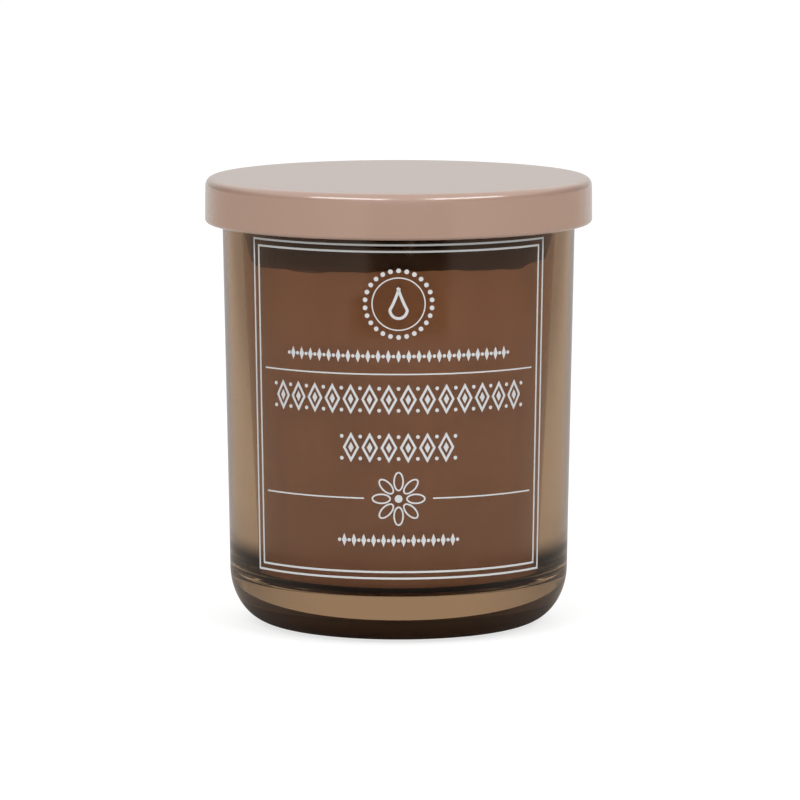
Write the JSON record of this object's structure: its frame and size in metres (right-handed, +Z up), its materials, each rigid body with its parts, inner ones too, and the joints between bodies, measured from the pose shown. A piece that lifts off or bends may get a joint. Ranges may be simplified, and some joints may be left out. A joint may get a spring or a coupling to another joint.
{
  "type": "lidded jar candle",
  "caption": "Small jar candle: tapered smoky glass jar with a thick base, tan wax, a cotton wick and a painted metal lid resting over the rim.",
  "frame": {"origin": "centre of the base, on the surface the jar stands on", "axes": "+Z up along the jar's axis, -Y towards the printed front, +X to the right seen from the front"},
  "size_m": [0.07, 0.07, 0.0809],
  "materials": {
    "smoky_glass": "clear glass with a see-through smoky brown coating outside, glossy",
    "wax": "tan candle wax, waxy sheen",
    "wick_cotton": "waxed cotton braid",
    "lid_paint": "glossy dusty pink paint on sheet steel",
    "print_white": "white screen print, thin and slightly glossy"
  },
  "bodies": {
    "root": {"jar": "smoky_glass", "wax": "wax", "wick": "wick_cotton", "lid": "lid_paint"}
  },
  "joints": []
}
